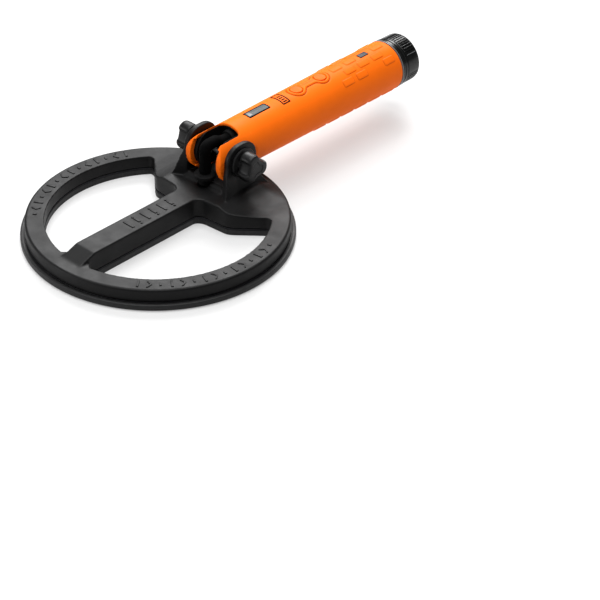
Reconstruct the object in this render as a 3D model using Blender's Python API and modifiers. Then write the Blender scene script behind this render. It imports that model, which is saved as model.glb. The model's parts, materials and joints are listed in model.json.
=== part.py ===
"""Handheld pulse metal detector: a round search coil with a spoke, a forked hinge and a grip with one cell.

The origin is on the underside of the coil, at its centre. +Z is up, +Y runs from the coil's centre to the
rear end of the handle, and the two halves mirror each other about x = 0.
"""

import math

import bmesh
import bpy

MM = 0.001
GAP = 0.3 * MM

# Coil
COVER_RADIUS = 100.0 * MM
COVER_PLATE = 4.2 * MM
RIM_TOP = 5.0 * MM
RIM_INNER = 97.0 * MM
SHELL_RADIUS = 96.6 * MM
SHELL_BOTTOM = 5.8 * MM
RING_TOP = 15.5 * MM
WINDOW_RADIUS = 82.1 * MM
CHANNEL = (84.4 * MM, 94.2 * MM)
CHANNEL_TOP = 13.2 * MM
EDGE = 1.2 * MM

# Spoke and platform
SPOKE_HALF = 9.7 * MM
SPOKE_TOP = 20.8 * MM
SPOKE_FRONT = -88.0 * MM
SPOKE_RAMP = 9.0 * MM
PLATFORM_HALF = 29.0 * MM
PLATFORM_SHOULDER = (43.0 * MM, 17.4 * MM)
PLATFORM_FOOT = 58.0 * MM
PLATFORM_FRONT = 20.0 * MM
PLATFORM_REAR = 90.0 * MM
PLATFORM_SLOPE = 9.0 * MM

# Hinge
PIVOT_Y = 64.2 * MM
PIVOT_Z = 42.0 * MM
EAR_INNER = 18.2 * MM
EAR_OUTER = 22.4 * MM
EAR_FOOT = 26.5 * MM
EAR_RADIUS = 14.8 * MM
EAR_FLAT_BOTTOM = 31.0 * MM
EAR_FRONT_FOOT = 46.0 * MM
EAR_FLARE = 9.0 * MM
EAR_REAR_FOOT = 88.5 * MM
STUD_RADIUS = 3.0 * MM
STUD_HALF = 33.5 * MM
COLLAR_RADIUS = 11.5 * MM
COLLAR_END = 24.3 * MM
KNOB_START = 24.6 * MM
KNOB_NECK_END = 26.5 * MM
KNOB_END = 37.4 * MM
KNOB_MEAN = 9.2 * MM
KNOB_LOBE = 1.9 * MM
KNOB_LOBES = 3

# Coil cable, from its gland up through an elbow and back to the bulkhead
CABLE_RADIUS = 4.4 * MM
CABLE_Y = 48.1 * MM
CABLE_START = 31.6 * MM
CABLE_TOP = 52.6 * MM
PLUG_Z = 49.5 * MM
PLUG_Y = 71.5 * MM

# Handle
HANDLE_FRONT = 45.9 * MM
HANDLE_REAR = 244.0 * MM
HANDLE_FRONT_RADIUS = 18.1 * MM
HANDLE_REAR_RADIUS = 19.8 * MM
BAND_RADIUS = 20.2 * MM
BORE_RADIUS = 16.0 * MM
BORE_START = 70.0 * MM
FORK_HALF = 11.3 * MM
SLOT_REAR = 73.6 * MM
CHEEK = 17.9 * MM
CHEEK_REAR = 84.0 * MM
SEAT = 16.9 * MM
SEAT_RADIUS = 9.6 * MM
CORE_OUTER = 15.7 * MM
CORE_INNER = 14.2 * MM
BULKHEAD = (76.0 * MM, 80.0 * MM)

# Controls on top of the handle
DISPLAY_Y = (91.5 * MM, 112.5 * MM)
DISPLAY_HALF = 3.6 * MM
ICON_Y = (122.0 * MM, 131.6 * MM)
ICON_HALF = 5.8 * MM
BUTTON_Y = {"function": 144.5 * MM, "power": 170.3 * MM}
BUTTON_RADIUS = 4.8 * MM
PAD_RADIUS = 7.4 * MM
PAD_WAIST = 3.0 * MM
STEM_RADIUS = 2.2 * MM
LENS_Y = (213.8 * MM, 222.4 * MM)
LENS_HALF = 2.3 * MM

# Electronics
BOARD_Z = (49.6 * MM, 50.8 * MM)
BATTERY_Z = 38.6 * MM
BATTERY_RADIUS = 9.1 * MM
BATTERY_Y = (172.0 * MM, 238.0 * MM)

# Rear end
COLLAR_Y = (245.9 * MM, 251.0 * MM)
SPIGOT_RADIUS = 16.3 * MM
SPIGOT_END = 261.3 * MM
CAP_Y = (251.4 * MM, 264.7 * MM)
CAP_RADIUS = 19.4 * MM

STEPS_LARGE = 72
STEPS_SEALED = 48
STEPS_HANDLE = 40
STEPS_SMALL = 20

PARTS = bpy.data.collections.new("metal_detector")
CUTTERS = bpy.data.collections.new("cutters")

COLOURS = {
    "orange": ((0.95, 0.24, 0.03, 1.0), 0.45, 0.0),
    "black": ((0.035, 0.036, 0.04, 1.0), 0.5, 0.0),
    "charcoal": ((0.075, 0.077, 0.08, 1.0), 0.5, 0.0),
    "rubber": ((0.02, 0.02, 0.022, 1.0), 0.75, 0.0),
    "grey": ((0.45, 0.46, 0.48, 1.0), 0.5, 0.0),
    "lens": ((0.2, 0.22, 0.24, 1.0), 0.15, 0.0),
    "steel": ((0.6, 0.6, 0.62, 1.0), 0.3, 1.0),
    "brass": ((0.75, 0.56, 0.26, 1.0), 0.35, 1.0),
    "copper": ((0.72, 0.32, 0.14, 1.0), 0.35, 1.0),
    "board": ((0.02, 0.16, 0.07, 1.0), 0.5, 0.0),
    "epoxy": ((0.1, 0.08, 0.06, 1.0), 0.4, 0.0),
    "battery": ((0.06, 0.16, 0.32, 1.0), 0.4, 0.0),
}


def clear_scene():
    for obj in list(bpy.data.objects):
        bpy.data.objects.remove(obj, do_unlink=True)
    for collection in (PARTS, CUTTERS):
        bpy.context.scene.collection.children.link(collection)


def paint(obj, look):
    colour, roughness, metallic = COLOURS[look]
    material = bpy.data.materials.new(obj.name)
    material.use_nodes = True
    shader = material.node_tree.nodes["Principled BSDF"]
    shader.inputs["Base Color"].default_value = colour
    shader.inputs["Roughness"].default_value = roughness
    shader.inputs["Metallic"].default_value = metallic
    obj.data.materials.append(material)


def place(obj, look, at=(0, 0, 0)):
    """Puts a shape among the parts, or among the cutters where it has no look."""
    obj.location = at
    if look:
        PARTS.objects.link(obj)
        paint(obj, look)
        if obj.type == "MESH":
            obj.data.shade_smooth()
            obj.data.set_sharp_from_angle(angle=math.radians(35))
    else:
        CUTTERS.objects.link(obj)
        obj.hide_render = True
        obj.display_type = "WIRE"
    return obj


def mesh_of_curve(curve, name):
    """The mesh of a curve object, its caps welded on. The curve is removed."""
    bpy.context.scene.collection.objects.link(curve)
    graph = bpy.context.evaluated_depsgraph_get()
    mesh = bpy.data.meshes.new_from_object(curve.evaluated_get(graph))
    mesh.name = name
    bpy.data.objects.remove(curve, do_unlink=True)
    shape = bmesh.new()
    shape.from_mesh(mesh)
    bmesh.ops.remove_doubles(shape, verts=shape.verts, dist=1e-6)
    bmesh.ops.recalc_face_normals(shape, faces=shape.faces)
    shape.to_mesh(mesh)
    shape.free()
    return mesh


def plate(name, outline, low, high, along="Z", look=None):
    """A flat outline, extruded from low to high along an axis.

    The outline is in (x, y) along Z, in (y, z) along X, and in (x, z) along Y.
    """
    data = bpy.data.curves.new(name, "CURVE")
    data.dimensions = "2D"
    data.fill_mode = "BOTH"
    data.extrude = (high - low) / 2
    spline = data.splines.new("POLY")
    spline.points.add(len(outline) - 1)
    for point, (u, v) in zip(spline.points, outline):
        point.co = (u, v, 0, 1)
    spline.use_cyclic_u = True
    mesh = mesh_of_curve(bpy.data.objects.new(name, data), name)
    middle = (low + high) / 2
    for vertex in mesh.vertices:
        u, v, w = vertex.co
        w += middle
        vertex.co = {"Z": (u, v, w), "X": (w, u, v), "Y": (u, w, v)}[along]
    shape = bmesh.new()
    shape.from_mesh(mesh)
    bmesh.ops.recalc_face_normals(shape, faces=shape.faces)
    shape.to_mesh(mesh)
    shape.free()
    return place(bpy.data.objects.new(name, mesh), look)


def box(name, low, high, look=None):
    shape = bmesh.new()
    bmesh.ops.create_cube(shape, size=1)
    for vertex in shape.verts:
        vertex.co = [a + (b - a) * (c + 0.5) for a, b, c in zip(low, high, vertex.co)]
    mesh = bpy.data.meshes.new(name)
    shape.to_mesh(mesh)
    shape.free()
    return place(bpy.data.objects.new(name, mesh), look)


TURNS = {"Z": (0, 0, 0), "Y": (-math.pi / 2, 0, 0), "X": (0, math.pi / 2, 0)}


def turned(name, profile, look=None, axis="Z", at=(0, 0, 0), steps=STEPS_SMALL, closed=False):
    """A turned piece. The profile holds (radius, height along the axis), from the top down its outer side."""
    mesh = bpy.data.meshes.new(name)
    count = len(profile)
    edges = [(i, i + 1) for i in range(count - 1)]
    if closed:
        edges.append((count - 1, 0))
    mesh.from_pydata([(radius, 0, height) for radius, height in profile], edges, [])
    obj = bpy.data.objects.new(name, mesh)
    obj.rotation_euler = TURNS[axis]
    screw = obj.modifiers.new("turn", "SCREW")
    screw.steps = steps
    screw.render_steps = steps
    screw.use_merge_vertices = True
    screw.merge_threshold = 1e-6
    return place(obj, look, at)


def rod(name, radius, low, high, look=None, axis="Z", at=(0, 0, 0), steps=STEPS_SMALL):
    profile = [(0, high), (radius, high), (radius, low), (0, low)]
    return turned(name, profile, look, axis, at, steps)


def ring(name, inner, outer, low, high, look=None, axis="Z", at=(0, 0, 0), steps=STEPS_SMALL):
    profile = [(outer, high), (outer, low), (inner, low), (inner, high)]
    return turned(name, profile, look, axis, at, steps, closed=True)


def combine(target, other, operation):
    step = target.modifiers.new(operation.lower() + "_" + other.name, "BOOLEAN")
    step.operation = operation
    step.solver = "EXACT"
    step.object = other


def cut(target, *others):
    for other in others:
        combine(target, other, "DIFFERENCE")


def join(target, *others):
    for other in others:
        combine(target, other, "UNION")


def arc(centre, radius, start, end, count):
    """Points on an arc, angles in degrees."""
    angles = [math.radians(start + (end - start) * i / (count - 1)) for i in range(count)]
    return [(centre[0] + radius * math.cos(a), centre[1] + radius * math.sin(a)) for a in angles]


def sweep(start, control, end, count):
    """Points on a curve that leaves start towards control and arrives at end from it."""
    points = []
    for i in range(count):
        t = i / (count - 1)
        weights = ((1 - t) ** 2, 2 * t * (1 - t), t * t)
        points.append(tuple(sum(w * p[k] for w, p in zip(weights, (start, control, end))) for k in (0, 1)))
    return points


def mirrored(outline, side):
    return [(side * x, y) for x, y in outline]


def window_outline(side):
    """One of the two openings beside the spoke, inside the ring."""
    edge = SPOKE_HALF
    front = -math.sqrt((WINDOW_RADIUS - 3 * MM) ** 2 - (edge + 3 * MM) ** 2)
    start = math.degrees(math.atan2(front - 1 * MM, edge + 5 * MM))
    outline = [(edge, front + 3 * MM), (edge + 1.2 * MM, front + 0.6 * MM)]
    outline += arc((0, 0), WINDOW_RADIUS, start, 38.5, 20)
    outline += [(61.5 * MM, 52.9 * MM), (58.5 * MM, 51.9 * MM)]
    outline += [(41.5 * MM, 36.6 * MM), (38.5 * MM, 34.2 * MM), (35.0 * MM, 32.9 * MM)]
    outline += [(17.5 * MM, 31.6 * MM), (13.0 * MM, 30.0 * MM), (edge, 26.0 * MM)]
    return mirrored(outline, side)


def build_coil():
    """The two shells of the coil, with everything that lies sealed between them."""
    windows = []
    for name, side in (("window_left", -1), ("window_right", 1)):
        windows.append(plate(name, window_outline(side), -10 * MM, 40 * MM))

    top, bottom = RING_TOP, SHELL_BOTTOM
    profile = [(0, top), (SHELL_RADIUS - EDGE, top), (SHELL_RADIUS, top - EDGE), (SHELL_RADIUS, bottom), (0, bottom)]
    shell = turned("coil_upper_shell", profile, "charcoal", steps=STEPS_LARGE)

    ramp = SPOKE_FRONT + SPOKE_RAMP
    side_view = [(SPOKE_FRONT, bottom + MM), (SPOKE_FRONT, top - 0.4 * MM), (ramp, SPOKE_TOP)]
    side_view += [(60 * MM, SPOKE_TOP), (60 * MM, bottom + MM)]
    spoke = plate("spoke", side_view, -SPOKE_HALF, SPOKE_HALF, "X")

    front_view = [(-PLATFORM_FOOT, 10 * MM), (-PLATFORM_FOOT, top - 0.4 * MM)]
    front_view += [(-PLATFORM_SHOULDER[0], PLATFORM_SHOULDER[1]), (-PLATFORM_HALF, SPOKE_TOP - 0.02 * MM)]
    front_view += [(-x, z) for x, z in reversed(front_view)]
    platform = plate("platform", front_view, PLATFORM_FRONT, PLATFORM_REAR, "Y")
    for vertex in platform.data.vertices:
        if vertex.co.z > top and vertex.co.y > PIVOT_Y:
            vertex.co.y -= PLATFORM_SLOPE
    combine(platform, rod("platform_limit", SHELL_RADIUS - EDGE, 0, 40 * MM, steps=STEPS_LARGE), "INTERSECT")

    web_view = [(30 * MM, 10 * MM)] + sweep((34 * MM, 20.5 * MM), (44 * MM, 21.5 * MM), (46.5 * MM, 27 * MM), 6)
    web_view += [(48.5 * MM, 27.2 * MM)] + sweep((50 * MM, 26.8 * MM), (57 * MM, 21.5 * MM), (70 * MM, 20.4 * MM), 6)
    web_view += [(72 * MM, 10 * MM)]
    web = plate("ear_web", web_view, -EAR_INNER - MM, EAR_INNER + MM, "X")
    join(shell, spoke, platform, web)
    for side_name, side in (("left", -1), ("right", 1)):
        join(shell, hinge_ear(side_name, side))

    channel = ring("winding_channel", *CHANNEL, 0, CHANNEL_TOP, steps=STEPS_LARGE)
    bore = rod("pivot_bore", STUD_RADIUS + GAP, -40 * MM, 40 * MM, axis="X", at=(0, PIVOT_Y, PIVOT_Z))
    gland_hole = rod("gland_hole", 5.2 * MM, 20 * MM, 40 * MM, at=(0, CABLE_Y, 0))
    cut(shell, *windows, channel, bore, gland_hole)

    low, rim = COVER_PLATE, RIM_TOP
    profile = [(0, low), (RIM_INNER, low), (RIM_INNER, rim), (COVER_RADIUS - 0.6 * MM, rim)]
    profile += [(COVER_RADIUS, rim - 0.6 * MM), (COVER_RADIUS, 0.8 * MM), (COVER_RADIUS - 0.8 * MM, 0), (0, 0)]
    cover = turned("coil_lower_cover", profile, "black", steps=STEPS_LARGE)
    cut(cover, *windows)

    seal = (COVER_PLATE + GAP, SHELL_BOTTOM - GAP)
    ring("coil_seal_outer", CHANNEL[1], SHELL_RADIUS, *seal, "rubber", steps=STEPS_SEALED)
    inner = rod("coil_seal_inner", CHANNEL[0], *seal, "rubber", steps=STEPS_SEALED)
    cut(inner, *windows)

    winding_low = 6.0 * MM
    winding_high = 10.8 * MM
    middle = (CHANNEL[0] + CHANNEL[1]) / 2
    corner = [(middle + 3.4 * MM, winding_high - MM), (middle + 3.4 * MM, winding_low + MM)]
    corner += [(middle + 2.4 * MM, winding_low), (middle - 2.4 * MM, winding_low)]
    corner += [(middle - 3.4 * MM, winding_low + MM), (middle - 3.4 * MM, winding_high - MM)]
    corner += [(middle - 2.4 * MM, winding_high), (middle + 2.4 * MM, winding_high)]
    turned("search_winding", corner, "copper", steps=STEPS_SEALED, closed=True)
    fill = (CHANNEL[0] + GAP, CHANNEL[1] - GAP)
    ring("potting_ring", *fill, winding_high + GAP, CHANNEL_TOP - GAP, "epoxy", steps=STEPS_SEALED)

    gland = [(7.4 * MM, 30.6 * MM), (8.2 * MM, 29.8 * MM), (8.2 * MM, 27.5 * MM), (4.9 * MM, 27.5 * MM)]
    gland += [(4.9 * MM, 22.0 * MM), (2.2 * MM, 22.0 * MM), (2.2 * MM, 30.6 * MM)]
    turned("cable_gland", gland, "black", at=(0, CABLE_Y, 0), closed=True)


def hinge_ear(side_name, side):
    """One ear of the coil: round at the top, flared at its foot, with a flat seat for the knob's collar."""
    centre = (PIVOT_Y, PIVOT_Z)
    side_view = [(EAR_FRONT_FOOT - 2 * MM, 10 * MM), (EAR_FRONT_FOOT, SPOKE_TOP)]
    side_view += arc(centre, EAR_RADIUS, 172, -4, 19)
    side_view += sweep(side_view[-1], (80.6 * MM, 24 * MM), (EAR_REAR_FOOT, 15 * MM), 7)[1:]
    side_view += [(EAR_REAR_FOOT, 10 * MM)]
    inner, outer = sorted((side * EAR_INNER, side * EAR_FOOT))
    ear = plate("ear_" + side_name, side_view, inner, outer, "X")
    for vertex in ear.data.vertices:
        if abs(vertex.co.x) > EAR_OUTER and vertex.co.y < PIVOT_Y and vertex.co.z < SPOKE_TOP + MM:
            vertex.co.y -= EAR_FLARE
    front_view = [(EAR_INNER - MM, 5 * MM), (EAR_FOOT + MM, 5 * MM), (EAR_FOOT - 0.01 * MM, SPOKE_TOP)]
    front_view += [(EAR_OUTER, EAR_FLAT_BOTTOM), (EAR_OUTER, 70 * MM), (EAR_INNER - MM, 70 * MM)]
    envelope = plate("ear_envelope_" + side_name, mirrored(front_view, side), 20 * MM, 100 * MM, "Y")
    combine(ear, envelope, "INTERSECT")
    return ear


def build_hinge():
    """The stud through the hinge, with a collar and a three-lobed knob at each end."""
    pivot = (0, PIVOT_Y, PIVOT_Z)
    rod("hinge_stud", STUD_RADIUS, -STUD_HALF, STUD_HALF, "steel", "X", pivot)
    for side_name, side in (("left", -1), ("right", 1)):
        span = sorted((side * (EAR_OUTER + GAP), side * COLLAR_END))
        ring("knob_collar_" + side_name, STUD_RADIUS + GAP, COLLAR_RADIUS, *span, "black", "X", pivot, 32)
        insert = sorted((side * (KNOB_START + GAP), side * (STUD_HALF + MM)))
        ring("knob_insert_" + side_name, STUD_RADIUS + GAP, 4.6 * MM, *insert, "brass", "X", pivot, 16)

        outline = []
        for i in range(36):
            angle = 2 * math.pi * i / 36
            radius = KNOB_MEAN + KNOB_LOBE * math.cos(KNOB_LOBES * angle)
            outline.append((radius * math.cos(angle), radius * math.sin(angle)))
        span = sorted((side * KNOB_NECK_END, side * KNOB_END))
        knob = plate("knob_" + side_name, outline, *span, "X", "black")
        knob.location = pivot
        neck = sorted((side * KNOB_START, side * (KNOB_NECK_END + MM)))
        join(knob, rod("knob_neck_" + side_name, 6.6 * MM, *neck, axis="X", at=pivot))
        pocket = sorted((side * (KNOB_START - MM), side * (STUD_HALF + 1.4 * MM)))
        cut(knob, rod("knob_pocket_" + side_name, 4.9 * MM, *pocket, axis="X", at=pivot, steps=16))

        span = sorted((side * (SEAT + GAP), side * CHEEK))
        ring("friction_washer_" + side_name, STUD_RADIUS + GAP, SEAT_RADIUS - 0.4 * MM, *span, "rubber", "X", pivot)
        span = sorted((side * 9.0 * MM, side * (SEAT - 0.2 * MM)))
        ring("pivot_bush_" + side_name, STUD_RADIUS + GAP, 4.8 * MM, *span, "grey", "X", pivot)


def handle_radius(y):
    share = (y - HANDLE_FRONT) / (HANDLE_REAR - HANDLE_FRONT)
    return HANDLE_FRONT_RADIUS + (HANDLE_REAR_RADIUS - HANDLE_FRONT_RADIUS) * share


def pad_outline(grow):
    """The dog-bone round both buttons, wider by grow all round."""
    front, rear = BUTTON_Y["function"], BUTTON_Y["power"]
    radius = PAD_RADIUS + grow
    waist = PAD_WAIST + grow
    outline = arc((0, front), radius, 140, 400, 15)
    outline += [(waist, front + 9 * MM), (waist, rear - 9 * MM)]
    outline += arc((0, rear), radius, -40, 220, 15)
    outline += [(-waist, rear - 9 * MM), (-waist, front + 9 * MM)]
    return outline


def build_handle():
    """The orange grip with its fork, and the black parts seen inside the fork."""
    axis_at = (0, 0, PIVOT_Z)
    profile = [(0, BORE_START), (BORE_RADIUS, BORE_START), (BORE_RADIUS, HANDLE_REAR)]
    profile += [(BAND_RADIUS, HANDLE_REAR), (BAND_RADIUS, HANDLE_REAR - 3 * MM)]
    profile += [(handle_radius(HANDLE_REAR - 4 * MM), HANDLE_REAR - 4 * MM)]
    profile += [(HANDLE_FRONT_RADIUS, HANDLE_FRONT - MM), (0, HANDLE_FRONT - MM)]
    shell = turned("handle_shell", profile, "orange", "Y", axis_at, STEPS_HANDLE)

    envelope = arc((PIVOT_Y, PIVOT_Z), PIVOT_Y - HANDLE_FRONT, 100, 260, 15)
    envelope += [(PIVOT_Y, 10 * MM), (300 * MM, 10 * MM), (300 * MM, 80 * MM), (PIVOT_Y, 80 * MM)]
    combine(shell, plate("fork_envelope", envelope, -40 * MM, 40 * MM, "X"), "INTERSECT")

    slot = [(-FORK_HALF, 30 * MM), (FORK_HALF, 30 * MM)]
    slot += arc((FORK_HALF - 3 * MM, SLOT_REAR - 3 * MM), 3 * MM, 0, 80, 5)
    slot += arc((-FORK_HALF + 3 * MM, SLOT_REAR - 3 * MM), 3 * MM, 100, 180, 5)
    cut(shell, plate("fork_slot", slot, 0, 80 * MM))

    pivot = (0, PIVOT_Y, PIVOT_Z)
    cheeks = []
    seats = []
    for side_name, side in (("left", -1), ("right", 1)):
        near, far = sorted((side * CHEEK, side * 40 * MM))
        cheeks.append(box("cheek_" + side_name, (near, 30 * MM, 0), (far, CHEEK_REAR, 80 * MM)))
        span = sorted((side * SEAT, side * 30 * MM))
        seats.append(rod("washer_seat_" + side_name, SEAT_RADIUS, *span, axis="X", at=pivot, steps=24))
        liner_view = arc((PIVOT_Y, PIVOT_Z), 15.4 * MM, 125, 235, 13)
        liner_view += [(BULKHEAD[0] - GAP, PIVOT_Z - 11 * MM), (BULKHEAD[0] - GAP, PIVOT_Z + 11 * MM)]
        span = sorted((side * 9.4 * MM, side * (FORK_HALF - 0.4 * MM)))
        liner = plate("fork_liner_" + side_name, liner_view, *span, "X", "black")
        span = sorted((side * 5 * MM, side * 15 * MM))
        cut(liner, rod("liner_hole_" + side_name, 5.1 * MM, *span, None, "X", pivot))
    bush_bore = rod("bush_bore", 5.1 * MM, -30 * MM, 30 * MM, None, "X", pivot)
    cut(shell, *cheeks, *seats, bush_bore)

    cut(shell, box("display_pocket", (-DISPLAY_HALF - GAP, DISPLAY_Y[0] - GAP, 59.0 * MM),
                   (DISPLAY_HALF + GAP, DISPLAY_Y[1] + GAP, 80 * MM)))
    cut(shell, box("icon_pocket", (-ICON_HALF - GAP, ICON_Y[0] - GAP, 58.9 * MM),
                   (ICON_HALF + GAP, ICON_Y[1] + GAP, 80 * MM)))
    cut(shell, box("lens_pocket", (-LENS_HALF - GAP, LENS_Y[0] - GAP, 60.2 * MM),
                   (LENS_HALF + GAP, LENS_Y[1] + GAP, 80 * MM)))
    cut(shell, plate("pad_pocket", pad_outline(GAP), 59.3 * MM, 80 * MM))

    core = ring("core_tube", CORE_INNER, CORE_OUTER, BULKHEAD[1] + 2.6 * MM, 245.6 * MM, "black", "Y", axis_at, 32)
    for name, y in BUTTON_Y.items():
        cut(shell, rod(name + "_hole", BUTTON_RADIUS + GAP, 55 * MM, 80 * MM, at=(0, y, 0)))
        cut(core, rod(name + "_stem_hole", STEM_RADIUS + GAP, 50 * MM, 80 * MM, at=(0, y, 0)))

    bulkhead = rod("bulkhead", CORE_OUTER, *BULKHEAD, "black", "Y", axis_at, 32)
    cut(bulkhead, rod("plug_hole", 4.6 * MM, 60 * MM, 90 * MM, axis="Y", at=(0, 0, PLUG_Z)))
    seal = (BULKHEAD[1] + GAP, BULKHEAD[1] + 2.3 * MM)
    ring("bulkhead_seal", CORE_INNER, CORE_OUTER, *seal, "rubber", "Y", axis_at, 32)


def build_cable():
    """The coil's cable in its moulded elbow, from the gland over the stud to the plug."""
    route = [(CABLE_Y, CABLE_START), (CABLE_Y, 37 * MM), (CABLE_Y, 44 * MM)]
    route += sweep((CABLE_Y, 47 * MM), (CABLE_Y, CABLE_TOP), (54 * MM, CABLE_TOP), 6)
    route += [(58 * MM, CABLE_TOP)] + sweep((60 * MM, CABLE_TOP), (64.5 * MM, PLUG_Z), (69 * MM, PLUG_Z), 5)
    route += [(PLUG_Y - GAP, PLUG_Z)]
    data = bpy.data.curves.new("coil_cable", "CURVE")
    data.dimensions = "3D"
    data.bevel_depth = CABLE_RADIUS
    data.bevel_resolution = 3
    data.use_fill_caps = True
    spline = data.splines.new("POLY")
    spline.points.add(len(route) - 1)
    for point, (y, z) in zip(spline.points, route):
        point.co = (0, y, z, 1)
    mesh = mesh_of_curve(bpy.data.objects.new("coil_cable", data), "coil_cable")
    place(bpy.data.objects.new("coil_cable", mesh), "rubber")

    spigot = 4.3 * MM
    profile = [(0, 86 * MM), (spigot, 86 * MM), (spigot, BULKHEAD[0] - GAP), (6.2 * MM, BULKHEAD[0] - GAP)]
    profile += [(6.2 * MM, PLUG_Y + MM), (5.4 * MM, PLUG_Y), (0, PLUG_Y)]
    turned("cable_plug", profile, "black", "Y", (0, 0, PLUG_Z))
    nut = (BULKHEAD[1] + GAP, BULKHEAD[1] + 2.6 * MM)
    ring("plug_nut", 4.6 * MM, 6.4 * MM, *nut, "brass", "Y", (0, 0, PLUG_Z), 12)


def build_controls():
    """The window, panel, pad, buttons and lens on top of the handle."""
    box("display_window", (-DISPLAY_HALF, DISPLAY_Y[0], 59.3 * MM), (DISPLAY_HALF, DISPLAY_Y[1], 60.4 * MM), "lens")
    box("icon_panel", (-ICON_HALF, ICON_Y[0], 59.2 * MM), (ICON_HALF, ICON_Y[1], 60.3 * MM), "charcoal")
    box("status_lens", (-LENS_HALF, LENS_Y[0], 60.5 * MM), (LENS_HALF, LENS_Y[1], 61.5 * MM), "grey")
    pad = plate("button_pad", pad_outline(0), 59.6 * MM, 60.5 * MM, "Z", "orange")
    for name, y in BUTTON_Y.items():
        cut(pad, rod(name + "_pad_hole", BUTTON_RADIUS + GAP, 55 * MM, 70 * MM, at=(0, y, 0)))
        profile = [(0, 61.4 * MM), (BUTTON_RADIUS - 0.8 * MM, 61.2 * MM), (BUTTON_RADIUS, 60.6 * MM)]
        profile += [(BUTTON_RADIUS, 59.0 * MM), (STEM_RADIUS, 59.0 * MM), (STEM_RADIUS, 54.5 * MM), (0, 54.5 * MM)]
        turned(name + "_button", profile, "orange", at=(0, y, 0), steps=24)


def build_electronics():
    """The board with what stands on it, and the cell in its cradle."""
    low, high = BOARD_Z
    box("main_board", (-9.6 * MM, 88 * MM, low), (9.6 * MM, 236 * MM, high), "board")
    top = high + GAP
    box("display_module", (-4.6 * MM, 89 * MM, top), (4.6 * MM, 113 * MM, 54.4 * MM), "charcoal")
    box("indicator_leds", (-4.0 * MM, 123 * MM, top), (4.0 * MM, 131 * MM, 53.2 * MM), "grey")
    for name, y in BUTTON_Y.items():
        box(name + "_switch", (-3 * MM, y - 3 * MM, top), (3 * MM, y + 3 * MM, 53.4 * MM), "charcoal")
    under = low - GAP
    rod("buzzer", 6 * MM, under - 6 * MM, under, "black", at=(0, 100 * MM, 0))
    rod("vibration_motor", 4 * MM, 116 * MM, 132 * MM, "steel", "Y", (0, 0, under - 4.2 * MM))
    axis_at = (0, 0, BATTERY_Z)
    ring("battery_cradle", BATTERY_RADIUS + GAP, 10.6 * MM, 169 * MM, 236 * MM, "black", "Y", axis_at, 24)
    nose = BATTERY_Y[0]
    profile = [(0, BATTERY_Y[1]), (BATTERY_RADIUS, BATTERY_Y[1]), (BATTERY_RADIUS, nose), (3 * MM, nose)]
    profile += [(3 * MM, nose - 1.2 * MM), (0, nose - 1.2 * MM)]
    turned("battery", profile, "battery", "Y", axis_at, 24)


def build_rear_end():
    """The gasket, the threaded collar, the screw cap and the contact that closes the battery circuit."""
    axis_at = (0, 0, PIVOT_Z)
    ring("rear_gasket", BORE_RADIUS, 19.9 * MM, HANDLE_REAR + GAP, COLLAR_Y[0] - GAP, "grey", "Y", axis_at, STEPS_HANDLE)
    bore = 13.2 * MM
    groove = (252.2 * MM, 254.0 * MM)
    profile = [(SPIGOT_RADIUS, SPIGOT_END), (SPIGOT_RADIUS, groove[1]), (15 * MM, groove[1]), (15 * MM, groove[0])]
    profile += [(SPIGOT_RADIUS, groove[0]), (SPIGOT_RADIUS, COLLAR_Y[1]), (19.6 * MM, COLLAR_Y[1])]
    profile += [(19.6 * MM, COLLAR_Y[0]), (bore, COLLAR_Y[0]), (bore, SPIGOT_END)]
    turned("threaded_collar", profile, "black", "Y", axis_at, STEPS_HANDLE, closed=True)
    middle = (groove[0] + groove[1]) / 2
    section = arc((15.75 * MM, middle), 0.6 * MM, 45, -225, 4)
    turned("cap_oring", section, "rubber", "Y", axis_at, 24, closed=True)

    inner = SPIGOT_RADIUS + GAP
    low, high = CAP_Y
    profile = [(0, high), (CAP_RADIUS - 1.4 * MM, high), (CAP_RADIUS, high - 1.6 * MM), (CAP_RADIUS, low)]
    profile += [(inner, low), (inner, SPIGOT_END + 0.9 * MM), (0, SPIGOT_END + 0.9 * MM)]
    turned("end_cap", profile, "black", "Y", axis_at, STEPS_HANDLE)

    disc = (SPIGOT_END - 1.8 * MM, SPIGOT_END + 0.5 * MM)
    rod("cap_contact", 12 * MM, *disc, "brass", "Y", axis_at, 24)
    data = bpy.data.curves.new("battery_spring", "CURVE")
    data.dimensions = "3D"
    data.bevel_depth = 0.6 * MM
    data.bevel_resolution = 2
    data.use_fill_caps = True
    turns, per_turn = 4, 10
    start = BATTERY_Y[1] + 1.0 * MM
    length = disc[0] - 0.9 * MM - start
    spline = data.splines.new("POLY")
    spline.points.add(turns * per_turn)
    for i, point in enumerate(spline.points):
        angle = 2 * math.pi * i / per_turn
        y = start + length * i / (turns * per_turn)
        point.co = (5 * MM * math.cos(angle), y, BATTERY_Z + 5 * MM * math.sin(angle), 1)
    mesh = mesh_of_curve(bpy.data.objects.new("battery_spring", data), "battery_spring")
    place(bpy.data.objects.new("battery_spring", mesh), "steel")


clear_scene()
build_coil()
build_hinge()
build_handle()
build_cable()
build_controls()
build_electronics()
build_rear_end()
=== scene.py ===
"""Looks of the handheld metal detector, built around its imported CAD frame."""

import json
import math

import bmesh
import bpy
from mathutils import Matrix, Vector


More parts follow.
